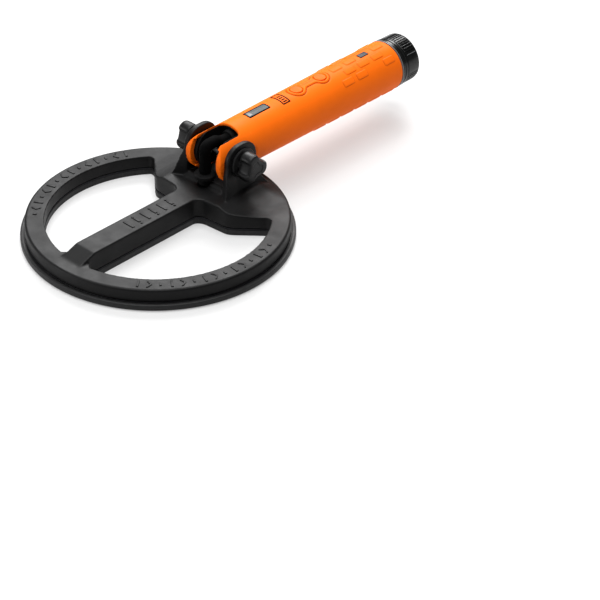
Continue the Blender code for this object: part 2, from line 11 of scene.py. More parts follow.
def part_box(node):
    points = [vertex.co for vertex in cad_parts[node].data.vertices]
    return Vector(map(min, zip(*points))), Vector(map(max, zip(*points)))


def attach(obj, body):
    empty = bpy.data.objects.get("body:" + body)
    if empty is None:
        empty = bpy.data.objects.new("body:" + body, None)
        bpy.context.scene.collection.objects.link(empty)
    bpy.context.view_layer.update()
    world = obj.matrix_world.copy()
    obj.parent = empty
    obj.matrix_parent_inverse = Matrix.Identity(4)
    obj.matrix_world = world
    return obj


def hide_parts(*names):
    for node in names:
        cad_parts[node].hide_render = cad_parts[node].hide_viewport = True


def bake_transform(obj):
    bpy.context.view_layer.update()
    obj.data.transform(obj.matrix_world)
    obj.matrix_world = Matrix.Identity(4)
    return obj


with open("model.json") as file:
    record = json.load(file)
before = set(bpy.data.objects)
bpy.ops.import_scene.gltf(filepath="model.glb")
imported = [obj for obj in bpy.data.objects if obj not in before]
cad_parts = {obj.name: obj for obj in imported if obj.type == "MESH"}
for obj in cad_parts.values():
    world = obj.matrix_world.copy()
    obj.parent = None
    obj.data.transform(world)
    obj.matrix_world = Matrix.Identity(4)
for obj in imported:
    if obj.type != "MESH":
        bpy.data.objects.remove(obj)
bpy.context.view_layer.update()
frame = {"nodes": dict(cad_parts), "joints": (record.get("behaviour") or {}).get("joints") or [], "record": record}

MM = 0.001


def node_box(node):
    """A CAD node's lowest and highest corners in millimetres."""
    return [[round(value / MM, 2) for value in corner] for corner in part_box(node)]


def middle(node, axis):
    """The middle of a CAD node along one axis, 0 to 2."""
    low, high = node_box(node)
    return round((low[axis] + high[axis]) / 2, 2)


HINGE = next(joint for joint in frame["joints"] if joint["name"] == "coil_hinge")
PIVOT = tuple(round(value / MM, 2) for value in HINGE["pos_m"])
PIVOT_Y, PIVOT_Z = PIVOT[1:]


# ---------------------------------------------------------------- camera, floor and light

CAMERA_AZIMUTH = 42.95
CAMERA_ELEVATION = 34.63
CAMERA_ROLL = 0.75
CAMERA_DISTANCE = 1.7836
CAMERA_ASIDE = 0.102784
CAMERA_DOWN = 0.04863
LENS = 147.222
SENSOR = 36.0
FLOOR_LEVEL = -0.0002
FLOOR_HALF = 6.0
OBJECT_MIDDLE = (0.0, 0.1, 0.02)


def aim_camera():
    """Looks at the origin, then moves aside and down, which puts the origin left of the middle."""
    azimuth, elevation, roll = (math.radians(a) for a in (CAMERA_AZIMUTH, CAMERA_ELEVATION, CAMERA_ROLL))
    flat = math.cos(elevation)
    back = Vector((math.sin(azimuth) * flat, -math.cos(azimuth) * flat, math.sin(elevation)))
    right = Vector((math.cos(azimuth), math.sin(azimuth), 0.0))
    up = back.cross(right)
    turned_right = right * math.cos(roll) + up * math.sin(roll)
    turned_up = up * math.cos(roll) - right * math.sin(roll)
    place = back * CAMERA_DISTANCE + turned_right * CAMERA_ASIDE - turned_up * CAMERA_DOWN
    camera = bpy.data.cameras.new("camera")
    camera.sensor_width = SENSOR
    camera.lens = LENS
    camera.clip_end = 50.0
    obj = new_object("camera", camera)
    turn = Matrix((turned_right, turned_up, back)).transposed()
    obj.matrix_world = Matrix.Translation(place) @ turn.to_4x4()
    bpy.context.scene.camera = obj


def area_light(name, at, size, power):
    """A rectangular light that faces the object."""
    lamp = bpy.data.lights.new(name, "AREA")
    lamp.shape = "RECTANGLE"
    lamp.size, lamp.size_y = size
    lamp.energy = power
    obj = new_object(name, lamp)
    obj.location = at
    obj.rotation_euler = (Vector(OBJECT_MIDDLE) - Vector(at)).to_track_quat("-Z", "Y").to_euler()


def build_studio():
    """A white room: a floor that shows only soft shadows, a low key from behind and a broad light above."""
    world = bpy.data.worlds.new("studio")
    world.use_nodes = True
    background = world.node_tree.nodes["Background"]
    background.inputs["Color"].default_value = (1.0, 1.0, 1.0, 1.0)
    background.inputs["Strength"].default_value = 0.2
    bpy.context.scene.world = world
    bpy.context.scene.view_settings.view_transform = "Standard"

    shape = bmesh.new()
    bmesh.ops.create_grid(shape, x_segments=8, y_segments=8, size=FLOOR_HALF)
    floor = new_object("floor", mesh_from(shape, "floor"))
    floor.location.z = FLOOR_LEVEL
    material = bpy.data.materials.new("floor")
    material.use_nodes = True
    shader = material.node_tree.nodes["Principled BSDF"]
    shader.inputs["Base Color"].default_value = (0.4, 0.4, 0.4, 1.0)
    shader.inputs["Emission Color"].default_value = (1.0, 1.0, 1.0, 1.0)
    shader.inputs["Emission Strength"].default_value = 0.36
    shader.inputs["Roughness"].default_value = 0.9
    shader.inputs["Specular IOR Level"].default_value = 0.1
    floor.data.materials.append(material)

    area_light("key", (-1.25, 1.45, 1.75), (1.6, 1.2), 88.0)
    area_light("top", (0.0, -0.1, 2.6), (2.2, 2.2), 88.0)
    area_light("fill", (-1.4, -1.5, 0.35), (1.4, 0.6), 16.0)


# ---------------------------------------------------------------- materials

NOISE_RANGE = (0.3, 0.7)
CONVEX = (0.52, 0.6)
CONCAVE = (0.46, 0.498)
WAVE_PERIOD = 314.16  # millimetres from one band to the next at a scale of 1


class Look:
    """A procedural material: a Principled shader with noise in its colour, roughness and surface."""

    def __init__(self, name, colour, roughness, metallic=0.0):
        self.material = bpy.data.materials.new(name)
        self.material.use_nodes = True
        self.nodes = self.material.node_tree.nodes
        self.links = self.material.node_tree.links
        self.shader = self.nodes["Principled BSDF"]
        self.shader.inputs["Base Color"].default_value = (*colour, 1.0)
        self.shader.inputs["Roughness"].default_value = roughness
        self.shader.inputs["Metallic"].default_value = metallic
        self.colour = colour
        self.roughness = roughness
        self.where = self.nodes.new("ShaderNodeTexCoord").outputs["Object"]
        self.normal = None

    def set(self, **values):
        """Plain values of the shader's own sockets."""
        for name, value in values.items():
            self.shader.inputs[name.replace("_", " ")].default_value = value
        return self

    def noise(self, scale, detail=3.0, stretch=None):
        """A noise value over the surface."""
        where = self.where
        if stretch:
            mapping = self.nodes.new("ShaderNodeMapping")
            mapping.inputs["Scale"].default_value = stretch
            self.links.new(self.where, mapping.inputs["Vector"])
            where = mapping.outputs["Vector"]
        node = self.nodes.new("ShaderNodeTexNoise")
        node.inputs["Scale"].default_value = scale
        node.inputs["Detail"].default_value = detail
        node.inputs["Roughness"].default_value = 0.55
        self.links.new(where, node.inputs["Vector"])
        return node.outputs["Fac"]

    def ramp(self, factor, low, high):
        """A noise value turned into a colour between low and high."""
        node = self.nodes.new("ShaderNodeValToRGB")
        for element, position, colour in zip(node.color_ramp.elements, NOISE_RANGE, (low, high)):
            element.position = position
            element.color = (*colour, 1.0)
        self.links.new(factor, node.inputs["Fac"])
        return node.outputs["Color"]

    def span(self, factor, low, high, source=NOISE_RANGE):
        """A value in the source range turned into one between low and high."""
        node = self.nodes.new("ShaderNodeMapRange")
        for name, value in zip(("From Min", "From Max", "To Min", "To Max"), (*source, low, high)):
            node.inputs[name].default_value = value
        self.links.new(factor, node.inputs["Value"])
        return node.outputs["Result"]

    def mottle(self, amount, scale):
        """Slow variation of the colour."""
        low = tuple(c * (1 - amount) for c in self.colour)
        high = tuple(min(1.0, c * (1 + amount)) for c in self.colour)
        self.links.new(self.ramp(self.noise(scale), low, high), self.shader.inputs["Base Color"])
        return self

    def tint(self, factor, colour):
        """Mixes another colour over the mottled one."""
        mix = self.nodes.new("ShaderNodeMix")
        mix.data_type = "RGBA"
        base = self.shader.inputs["Base Color"]
        self.links.new(base.links[0].from_socket, mix.inputs["A"])
        mix.inputs["B"].default_value = (*colour, 1.0)
        self.links.new(factor, mix.inputs["Factor"])
        self.links.new(mix.outputs["Result"], base)
        return self

    def wear_and_edge_highlight(self, amount, colour, scale):
        """Edges brighter where the surface is convex, partly as rubbing from use and partly as a painted edge
        highlight.
        """
        pointed = self.nodes.new("ShaderNodeNewGeometry").outputs["Pointiness"]
        broken = self.nodes.new("ShaderNodeMath")
        broken.operation = "MULTIPLY"
        self.links.new(self.span(pointed, 0.0, amount, CONVEX), broken.inputs[0])
        self.links.new(self.span(self.noise(scale), 0.2, 1.0), broken.inputs[1])
        return self.tint(broken.outputs[0], colour)

    def hollow_shade(self, amount, colour):
        """Painted shade: grooves and inner corners darker, where the surface is concave."""
        pointed = self.nodes.new("ShaderNodeNewGeometry").outputs["Pointiness"]
        return self.tint(self.span(pointed, amount, 0.0, CONCAVE), colour)

    def polish(self, spread, scale):
        """Slow variation of the roughness."""
        value = self.span(self.noise(scale), self.roughness - spread, self.roughness + spread)
        self.links.new(value, self.shader.inputs["Roughness"])
        return self

    def bump(self, height, depth):
        """Adds a height to the relief of the surface, depth in millimetres."""
        node = self.nodes.new("ShaderNodeBump")
        node.inputs["Strength"].default_value = 1.0
        node.inputs["Distance"].default_value = depth * MM
        self.links.new(height, node.inputs["Height"])
        if self.normal:
            self.links.new(self.normal, node.inputs["Normal"])
        self.normal = node.outputs["Normal"]
        self.links.new(self.normal, self.shader.inputs["Normal"])
        return self

    def grain(self, scale, depth, stretch=None):
        """Fine relief of the surface."""
        return self.bump(self.noise(scale, 2.0, stretch), depth)

    def waves(self, axis, period, depth):
        """Soft bands across an axis, period in millimetres."""
        node = self.nodes.new("ShaderNodeTexWave")
        node.wave_type = "BANDS"
        node.bands_direction = axis
        node.inputs["Scale"].default_value = WAVE_PERIOD / period
        node.inputs["Distortion"].default_value = 0.4
        node.inputs["Detail"].default_value = 1.0
        self.links.new(self.where, node.inputs["Vector"])
        return self.bump(node.outputs["Fac"], depth)


def moulded(name, colour, roughness, grain=0.02, edge=0.25, gloss=0.5):
    """Moulded plastic with a fine spark-eroded grain, and brighter convex edges, partly rubbed and partly a
    painted edge highlight.
    """
    look = Look(name, colour, roughness)
    # A brighter copy of the colour for the convex edges: partly rubbed plastic, partly painted edge highlight.
    lighter = tuple(min(1.0, c * 1.9 + 0.02) for c in colour)
    look.set(Specular_IOR_Level=gloss)
    look.mottle(0.1, 60.0).wear_and_edge_highlight(edge, lighter, 240.0).polish(0.05, 90.0)
    return look.grain(2600.0, grain).grain(180.0, grain * 1.2).material


def build_looks():
    """One material for each slot in the record."""
    shell, cover = (0.0048, 0.0048, 0.005), (0.011, 0.011, 0.0114)
    black, knob, cap = (0.0015, 0.0015, 0.0017), (0.004, 0.004, 0.0043), (0.0008, 0.0011, 0.001)
    looks = {
        "shell_charcoal": moulded("shell_charcoal", shell, 0.48, 0.02, 0.6, 0.13),
        "cover_black": moulded("cover_black", cover, 0.5, 0.02, 0.6, 0.2),
        "moulded_black": moulded("moulded_black", black, 0.7, 0.02, 0.3, 0.1),
        "knob_black": moulded("knob_black", knob, 0.44, 0.02, 0.6, 0.2),
        "cap_black": moulded("cap_black", cap, 0.26, 0.008, 0.4, 0.3),
        "acetal_grey": moulded("acetal_grey", (0.42, 0.43, 0.45), 0.45, 0.01, 0.2),
        "module_dark": moulded("module_dark", (0.03, 0.032, 0.036), 0.4, 0.01, 0.2),
        "gasket_grey": moulded("gasket_grey", (0.09, 0.092, 0.096), 0.35, 0.015, 0.2),
    }
    orange = Look("grip_orange", (0.82, 0.134, 0.004), 0.5)
    orange.set(Specular_IOR_Level=0.05)
    # Brighter orange on the convex edges: partly rubbed plastic, partly painted edge highlight.
    orange.mottle(0.05, 30.0).wear_and_edge_highlight(0.25, (0.8, 0.22, 0.02), 260.0)
    # Painted shade: dark brown in the grooves round the button pad and in inner corners.
    orange.hollow_shade(0.95, (0.3, 0.04, 0.002)).polish(0.05, 70.0)
    looks["grip_orange"] = orange.grain(2400.0, 0.02).grain(150.0, 0.02).material
    button = Look("button_orange", (0.76, 0.118, 0.003), 0.5)
    button.set(Specular_IOR_Level=0.06)
    button.mottle(0.05, 120.0).polish(0.05, 200.0)
    looks["button_orange"] = button.grain(3000.0, 0.02).material
    for name, colour, roughness in (("seal_rubber", (0.02, 0.02, 0.022), 0.75),
                                    ("cable_rubber", (0.0007, 0.0007, 0.0008), 0.85)):
        rubber = Look(name, colour, roughness).set(Specular_IOR_Level=0.05)
        rubber.mottle(0.25, 90.0).polish(0.08, 150.0)
        looks[name] = rubber.grain(1900.0, 0.03).grain(300.0, 0.02).material
    # Steel colour darkened far below bright steel: painted shade, so the hinge stud in the gap between the fork
    # cheeks stays dark.
    steel = Look("steel", (0.1, 0.1, 0.104), 0.5, 1.0).mottle(0.06, 200.0).polish(0.08, 400.0)
    looks["steel"] = steel.waves("X", 10.0, 0.02).grain(900.0, 0.004).material
    brass = Look("brass", (0.75, 0.55, 0.25), 0.34, 1.0).mottle(0.1, 150.0).polish(0.08, 300.0)
    looks["brass"] = brass.waves("X", 8.0, 0.015).grain(700.0, 0.005).material
    copper = Look("winding_copper", (0.72, 0.30, 0.12), 0.34, 1.0).mottle(0.12, 120.0)
    looks["winding_copper"] = copper.polish(0.06, 300.0).waves("Z", 10.0, 0.08).material
    epoxy = Look("potting_epoxy", (0.1, 0.08, 0.06), 0.3).mottle(0.3, 60.0).polish(0.1, 120.0)
    looks["potting_epoxy"] = epoxy.grain(90.0, 0.15).material
    board = Look("board_green", (0.02, 0.16, 0.07), 0.35).mottle(0.2, 320.0).polish(0.06, 500.0)
    looks["board_green"] = board.grain(1400.0, 0.02).waves("Y", 24.0, 0.01).material
    led = Look("led_white", (0.75, 0.75, 0.7), 0.3).mottle(0.06, 300.0).polish(0.05, 300.0)
    looks["led_white"] = led.grain(900.0, 0.01).material
    sleeve = Look("battery_sleeve", (0.05, 0.16, 0.34), 0.35).mottle(0.12, 50.0).polish(0.06, 200.0)
    looks["battery_sleeve"] = sleeve.grain(500.0, 0.03, stretch=(1.0, 0.1, 1.0)).material
    window = Look("window_grey", (0.055, 0.063, 0.064), 0.4).set(Specular_IOR_Level=0.1)
    looks["window_grey"] = window.mottle(0.08, 80.0).polish(0.03, 200.0).grain(600.0, 0.004).material
    icon = Look("icon_dark", (0.003, 0.0028, 0.0026), 0.6).set(Specular_IOR_Level=0.02)
    looks["icon_dark"] = icon.mottle(0.15, 200.0).polish(0.05, 300.0).grain(1500.0, 0.01).material
    lens = Look("lens_grey", (0.03, 0.032, 0.04), 0.4).set(Specular_IOR_Level=0.1)
    looks["lens_grey"] = lens.mottle(0.1, 200.0).polish(0.04, 300.0).grain(900.0, 0.006).material
    return looks


# ---------------------------------------------------------------- mesh helpers, all sizes in millimetres

SAME_POINT = 1e-7
SMOOTH_ROUNDS = 7
BEVEL_ANGLE = 35


def new_object(name, data):
    """Data as an object in the scene."""
    obj = bpy.data.objects.new(name, data)
    bpy.context.scene.collection.objects.link(obj)
    return obj


def mesh_from(shape, name):
    """A bmesh made into a mesh, and freed."""
    mesh = bpy.data.meshes.new(name)
    shape.to_mesh(mesh)
    shape.free()
    return mesh


def mesh_object(name, points, faces):
    """An object from points in millimetres, with doubles merged and every face outwards."""
    rough = bpy.data.meshes.new(name)
    rough.from_pydata([tuple(c * MM for c in p) for p in points], [], faces)
    shape = bmesh.new()
    shape.from_mesh(rough)
    bpy.data.meshes.remove(rough)
    bmesh.ops.remove_doubles(shape, verts=shape.verts, dist=SAME_POINT)
    bmesh.ops.recalc_face_normals(shape, faces=shape.faces)
    return new_object(name, mesh_from(shape, name))


def loft(name, sections, closed=False):
    """Joins rings of points, each with as many as the next. The ends get caps, or meet if it is closed."""
    count = len(sections[0])
    points = [p for ring in sections for p in ring]
    faces = []
    last = len(sections) if closed else len(sections) - 1
    for i in range(last):
        a, b = i * count, (i + 1) % len(sections) * count
        for j in range(count):
            k = (j + 1) % count
            faces.append((a + j, a + k, b + k, b + j))
    if not closed:
        faces.append(tuple(range(count)))
        faces.append(tuple(range(len(points) - count, len(points))))
    return mesh_object(name, points, faces)


def on_axis(axis, centre, radius, angle, along):
    """A point at a radius and an angle round an axis through centre."""
    u, v = radius * math.cos(angle), radius * math.sin(angle)
    x, y, z = centre
    if axis == "X":
        return (x + along, y + u, z + v)
    if axis == "Y":
        return (x + u, y + along, z + v)
    return (x + u, y + v, z + along)


def lathe(name, profile, axis, centre=(0, 0, 0), steps=96, closed=False, shape_of=None):
    """A turned shape from (radius, height). shape_of(angle, radius, height) may change the radius."""
    sections = []
    for radius, height in profile:
        ring = []
        for i in range(steps):
            angle = 2 * math.pi * i / steps
            r = shape_of(angle, radius, height) if shape_of else radius
            ring.append(on_axis(axis, centre, max(r, 0.01), angle, height))
        sections.append(ring)
    return loft(name, sections, closed=closed)


def rod(name, radius, low, high, axis="X", centre=PIVOT, steps=48):
    """A solid round bar along an axis through centre, by default the hinge's."""
    thin = 0.02
    return lathe(name, [(thin, low), (radius, low), (radius, high), (thin, high)], axis, centre, steps)


def extrude(name, outline, low, high, along="Z"):
    """A flat outline pushed along an axis from low to high."""
    place = {"Z": lambda u, v, w: (u, v, w), "X": lambda u, v, w: (w, u, v)}[along]
    return loft(name, [[place(u, v, w) for u, v in outline] for w in (low, high)])


def arc(centre, radius, start, end, count):
    """Points on a circle from one angle to another, in degrees."""
    angles = [math.radians(start + (end - start) * i / (count - 1)) for i in range(count)]
    return [(centre[0] + radius * math.cos(a), centre[1] + radius * math.sin(a)) for a in angles]


def sweep(start, control, end, count):
    """Points on a curve from start to end that bends towards control."""
    points = []
    for i in range(count):
        t = i / (count - 1)
        weights = ((1 - t) ** 2, 2 * t * (1 - t), t * t)
        point = [sum(w * p[k] for w, p in zip(weights, (start, control, end))) for k in range(2)]
        points.append(tuple(point))
    return points


def apply_modifiers(obj):
    """The object's own modifiers made final."""
    graph = bpy.context.evaluated_depsgraph_get()
    mesh = bpy.data.meshes.new_from_object(obj.evaluated_get(graph))
    obj.modifiers.clear()
    obj.data = mesh
    return obj


def boolean(target, tools, operation):
    """Adds or takes the tools from the target, one after another, and deletes them."""
    for tool in tools:
        step = target.modifiers.new("boolean", "BOOLEAN")
        step.operation = operation
        step.solver = "EXACT"
        step.object = tool
    apply_modifiers(target)
    for tool in tools:
        bpy.data.objects.remove(tool, do_unlink=True)
    return target


def soften(obj, voxel):
    """Merges closed shapes that cross into one, in small even faces, and rounds its edges."""
    step = obj.modifiers.new("remesh", "REMESH")
    step.mode = "VOXEL"
    step.voxel_size = voxel * MM
    step.use_smooth_shade = True
    relax = obj.modifiers.new("smooth", "SMOOTH")
    relax.factor = 0.5
    relax.iterations = SMOOTH_ROUNDS
    return apply_modifiers(obj)


def bevel(obj, width, segments):
    """Rounds the sharp edges."""
    step = obj.modifiers.new("bevel", "BEVEL")
    step.width = width * MM
    step.segments = segments
    step.limit_method = "ANGLE"
    step.angle_limit = math.radians(BEVEL_ANGLE)
    step.harden_normals = False
    return apply_modifiers(obj)


def finish(obj, slot, body, replaces=(), smooth=40):
    """Gives a piece its material, shading, body if it has just one, and the CAD nodes it stands for."""
    obj.data.materials.clear()
    obj.data.materials.append(LOOKS[slot])
    obj.data.shade_smooth()
    obj.data.set_sharp_from_angle(angle=math.radians(smooth))
    if body:
        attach(obj, body)
    if replaces:
        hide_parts(*replaces)


def join(objects, name):
    """One object from several."""
    shape = bmesh.new()
    for obj in objects:
        shape.from_mesh(obj.data)
        bpy.data.objects.remove(obj, do_unlink=True)
    return new_object(name, mesh_from(shape, name))


def between(table, z):
    """The values of a table at a height, its first column."""
    for low, high in zip(table, table[1:]):
        if z <= high[0]:
            share = max(0.0, (z - low[0]) / (high[0] - low[0]))
            return [a + (b - a) * share for a, b in zip(low[1:], high[1:])]
    return list(table[-1][1:])


# ---------------------------------------------------------------- coil

COVER_RADIUS = node_box("coil_lower_cover")[1][0]
SHELL_RADIUS = node_box("coil_upper_shell")[1][0]
SHELL_BOTTOM = node_box("coil_upper_shell")[0][2]
GLAND_Y = middle("cable_gland", 1)
RING_TOP = 15.5
WINDOW_RADIUS = 82.1
WINDOW_END = 38.0
WINDOW_CORNER = 3.0
# inner radius, outer radius, roof
CHANNEL = (84.4, 94.2, 13.2)
SPOKE_HALF = 9.7
SPOKE_TOP = 20.8
SHELL_ROOT = 10.0
VOXEL_COIL = 0.62

EAR_INNER = 18.2
EAR_OUTER = 22.5
EAR_RADIUS = 14.8
EAR_SQUARENESS = 2.45
EAR_LEAN = 0.8
EAR_FOOT_WIDTH = 2.6
EAR_FOOT_LENGTH = 9.5
# height, front y at the inner face, outer x, front y at the outer face
EAR_FRONT = ((10.0, 45.0, 31.0, 37.2), (19.0, 46.3, 29.2, 39.9), (21.0, 46.9, 28.5, 40.9),
             (24.0, 47.4, 27.6, 42.0), (28.0, 47.9, 26.5, 43.4), (34.0, 48.5, 24.9, 45.7),
             (42.0, 49.4, 22.8, 48.6))
EAR_LEVELS = (10.0, 14.0, 16.0, 17.0, 18.0, 19.0, 20.0, 20.87, 21.4, 22.0, 23.0, 24.0, 26.0, 28.0, 31.0,
              34.0, 37.0, 40.0)
EAR_TOP_SHARES = (0.02, 0.12, 0.22, 0.32, 0.42, 0.52, 0.62, 0.71, 0.79, 0.86, 0.915, 0.955, 0.98, 0.995,
                  0.9995)

# distance from the middle, height
PLATFORM_ACROSS = ((0, 20.8), (27.0, 20.8), (28.8, 20.65), (30.4, 20.2), (32.6, 19.3), (35, 18.4),
                   (38, 17.6), (43, 16.7), (50, 15.9), (57, 15.3), (60, 15.2))
# y, share of the height that is left
PLATFORM_ALONG = ((22.0, 1.0), (70.0, 1.0), (76.0, 1.0), (79.0, 0.86), (82.0, 0.6), (86.0, 0.3),
                  (91.0, 0.06), (95.5, 0.0))

RELIEF_RADIUS = 89.2
RELIEF_DEPTH = 0.2
RELIEF_HEIGHT = 0.55
RELIEF_STARTS = (-53.0, 152.0)
RELIEF_STEP = 5.1
RELIEF_COUNT = 15
SPOKE_BARS = 6
SPOKE_BAR_START = -30.0
SPOKE_BAR_STEP = 8.2
SPOKE_BAR_WIDTH = 2.0


def window_cutter(side):
    """One of the two openings of the coil: an arc at the ring, a straight spoke edge, a bent rear edge."""
    edge, radius = SPOKE_HALF, WINDOW_RADIUS
    front = -math.sqrt((radius - WINDOW_CORNER) ** 2 - (edge + WINDOW_CORNER) ** 2)
    start = math.degrees(math.atan2(front - 1, edge + 5))
    outline = [(edge, front + 3), (edge + 0.5, front + 1.4), (edge + 1.6, front + 0.4)]
    outline += arc((0, 0), radius, start, WINDOW_END, 64)
    outline += sweep((63.4, 52.2), (61.5, 53.4), (58.3, 51.7), 6)
    outline += sweep((42.0, 36.9), (37.5, 33.0), (34.0, 32.9), 6)
    outline += [(17.5, 31.6)] + sweep((15.0, 31.2), (edge + 0.6, 29.4), (edge, 26.0), 6)
    return extrude("window", [(side * x, y) for x, y in outline], -10, 40)


def ear_sections(side):
    """Horizontal slices of one ear, which widens forwards and outwards into its foot."""
    sections = []
    for z in [*EAR_LEVELS, *(PIVOT_Z + EAR_RADIUS * share for share in EAR_TOP_SHARES)]:
        front_in, outer, front_out = between(EAR_FRONT, z)
        if z > PIVOT_Z:
            flat = max(0.0, 1 - ((z - PIVOT_Z) / EAR_RADIUS) ** EAR_SQUARENESS)
            half = EAR_RADIUS * flat ** (1 / EAR_SQUARENESS)
            front_in, rear = PIVOT_Y - half, PIVOT_Y + half
            front_out = front_in - EAR_LEAN * half / EAR_RADIUS
            outer = EAR_OUTER
        else:
            low = 1 - min(1.0, max(0.0, z - 15) / 27)
            rear = PIVOT_Y + EAR_RADIUS + EAR_FOOT_LENGTH * low ** 2.2
        wide = min(EAR_OUTER + EAR_FOOT_WIDTH * max(0.0, (36.0 - z) / 15.2) ** 2, 29.0)
        ring = [(EAR_INNER, front_in), (outer, front_out), (min(outer, wide), 58.0)]
        ring += [(wide, rear), (EAR_INNER, rear)]
        sections.append([(side * x, y, z) for x, y in ring])
    return sections


def build_platform():
    """The raised middle of the rear of the coil, falling gently to the ring on both sides and behind."""
    profile = [(-x, z) for x, z in reversed(PLATFORM_ACROSS[1:])] + list(PLATFORM_ACROSS)
    base = PLATFORM_ACROSS[-1][1]
    rows, columns = len(PLATFORM_ALONG), len(profile)
    points = [(x, y, base + (z - base) * share) for y, share in PLATFORM_ALONG for x, z in profile]
    points += [(x, y, SHELL_ROOT) for y, _ in PLATFORM_ALONG for x, _ in profile]
    under = rows * columns
    faces = []
    for i in range(rows - 1):
        for j in range(columns - 1):
            a = i * columns + j
            square = (a, a + 1, a + columns + 1, a + columns)
            faces += [square, tuple(under + k for k in reversed(square))]
    edge = list(range(columns)) + [i * columns + columns - 1 for i in range(1, rows)]
    edge += [(rows - 1) * columns + j for j in range(columns - 2, -1, -1)]
    edge += [i * columns for i in range(rows - 2, 0, -1)]
    faces += [(a, b, under + b, under + a) for a, b in zip(edge, edge[1:] + edge[:1])]
    platform = mesh_object("platform", points, faces)
    limit = SHELL_RADIUS - 3.1
    profile = [(0.02, 60), (limit, 60), (limit, 5), (0.02, 5)]
    return boolean(platform, [lathe("limit", profile, "Z", steps=250)], "INTERSECT")


def build_coil_shell():
    """The upper shell: ring, spoke, platform, web and ears, each cut by the same openings, then merged."""
    top, bottom = RING_TOP, SHELL_BOTTOM
    rim = SHELL_RADIUS
    profile = [(0, top), (rim - 1.6, top), (rim - 0.5, top - 0.5), (rim, top - 1.6)]
    profile += [(rim, bottom), (0, bottom)]
    shell = lathe("coil_upper_shell_skin", profile, "Z", steps=256)

    spoke_view = [(-88.0, bottom + 1), (-88.0, top - 0.3), (-84.5, top + 0.4), (-71.0, SPOKE_TOP - 0.1)]
    spoke_view += [(-69.0, SPOKE_TOP), (60, SPOKE_TOP), (60, bottom + 1)]
    spoke = extrude("spoke", spoke_view, -SPOKE_HALF, SPOKE_HALF, "X")

    web_view = [(40, SHELL_ROOT)] + sweep((43, 20.6), (46.5, 21.2), (48.0, 24.0), 8) + [(49.0, 24.4)]
    web_view += sweep((50, 24.3), (57, 21.3), (70, 20.4), 8) + [(72, SHELL_ROOT)]
    web = extrude("web", web_view, -EAR_INNER - 0.3, EAR_INNER + 0.3, "X")
    ears = [loft("ear", ear_sections(side)) for side in (-1, 1)]
    pieces = [shell, spoke, build_platform(), web] + ears
    inner, outer, roof = CHANNEL
    for piece in pieces:
        tools = [window_cutter(side) for side in (-1, 1)]
        channel = [(outer, -2), (outer, roof), (inner, roof), (inner, -2)]
        tools.append(lathe("channel", channel, "Z", steps=192, closed=True))
        tools.append(rod("bore", 3.3, -40, 40, steps=40))
        tools.append(rod("gland_hole", 5.2, 20, 40, "Z", (0, GLAND_Y, 0), 40))
        boolean(piece, tools, "DIFFERENCE")
    shell = join(pieces, "coil_upper_shell_skin")
    soften(shell, VOXEL_COIL)
    finish(shell, "shell_charcoal", "coil", ["coil_upper_shell"], 60)


def build_coil_cover():
    """The flat lower cover, whose rounded rim stands proud of the shell."""
    rim = COVER_RADIUS
    profile = [(0, 4.2), (rim - 3.0, 4.2), (rim - 2.9, 4.9), (rim - 2.5, 5.0), (rim - 0.8, 5.0)]
    profile += [(rim - 0.25, 4.7), (rim - 0.02, 4.0), (rim, 1.4), (rim - 0.3, 0.6), (rim - 1.0, 0.12)]
    profile += [(rim - 2.0, 0.0), (0, 0)]
    cover = lathe("coil_lower_cover_skin", profile, "Z", steps=256)
    boolean(cover, [window_cutter(side) for side in (-1, 1)], "DIFFERENCE")
    finish(cover, "cover_black", "coil", ["coil_lower_cover"], 32)


def finish_relief(bars, name):
    """Raised marks as one softly edged piece on the coil."""
    relief = join(bars, name)
    bevel(relief, 0.12, 2)
    finish(relief, "shell_charcoal", "coil")


def build_coil_relief():
    """A plain raised pattern of bars and chevrons on the ring and on the spoke, in place of lettering."""
    chevron = [(-1.9, -3.6), (-0.5, -3.6), (2.1, 0), (-0.5, 3.6), (-1.9, 3.6), (0.7, 0)]
    long_bar = [(-0.85, -3.6), (0.85, -3.6), (0.85, 3.6), (-0.85, 3.6)]
    short_bar = [(-0.85, -1.5), (0.85, -1.5), (0.85, 1.5), (-0.85, 1.5)]
    low, high = RING_TOP - RELIEF_DEPTH, RING_TOP + RELIEF_HEIGHT
    bars = []
    for start in RELIEF_STARTS:
        for i in range(RELIEF_COUNT):
            turn = math.radians(start + i * RELIEF_STEP)
            outline = (long_bar, chevron, short_bar)[i % 3]
            placed = [(math.cos(turn) * (RELIEF_RADIUS + v) - math.sin(turn) * u,
                       math.sin(turn) * (RELIEF_RADIUS + v) + math.cos(turn) * u) for u, v in outline]
            bars.append(extrude("bar", placed, low, high))
    finish_relief(bars, "coil_ring_relief")

    low, high = SPOKE_TOP - RELIEF_DEPTH, SPOKE_TOP + RELIEF_HEIGHT
    bars = []
    for i in range(SPOKE_BARS):
        y = SPOKE_BAR_START + i * SPOKE_BAR_STEP
        rear = y + SPOKE_BAR_WIDTH
        half = 3.0 if i % 2 else 5.2
        bars.append(extrude("bar", [(-half, y), (half, y), (half, rear), (-half, rear)], low, high))
        if i % 2:
            for side in (-1, 1):
                dot = arc((side * 4.9, y + SPOKE_BAR_WIDTH / 2), 1.0, 0, 330, 12)
                bars.append(extrude("bar", dot, low, high))
    finish_relief(bars, "coil_spoke_relief")


# ---------------------------------------------------------------- hinge

KNOB_TURN = -14.0
KNOB_RADIUS = 9.6
KNOB_LOBE = 2.1
LOBE_FLATNESS = 0.45
COLLAR_RADIUS = 11.45
STUD_HOLE = 3.3
CABLE_RADIUS = 4.4
CABLE_START = node_box("coil_cable")[0][2]


def knob_radius(angle, radius, height):
    """A three-lobed grip."""
    lobes = math.cos(3 * (angle - math.radians(KNOB_TURN)))
    plateau = math.copysign(abs(lobes) ** LOBE_FLATNESS, lobes)
    return (KNOB_RADIUS + KNOB_LOBE * plateau) * radius


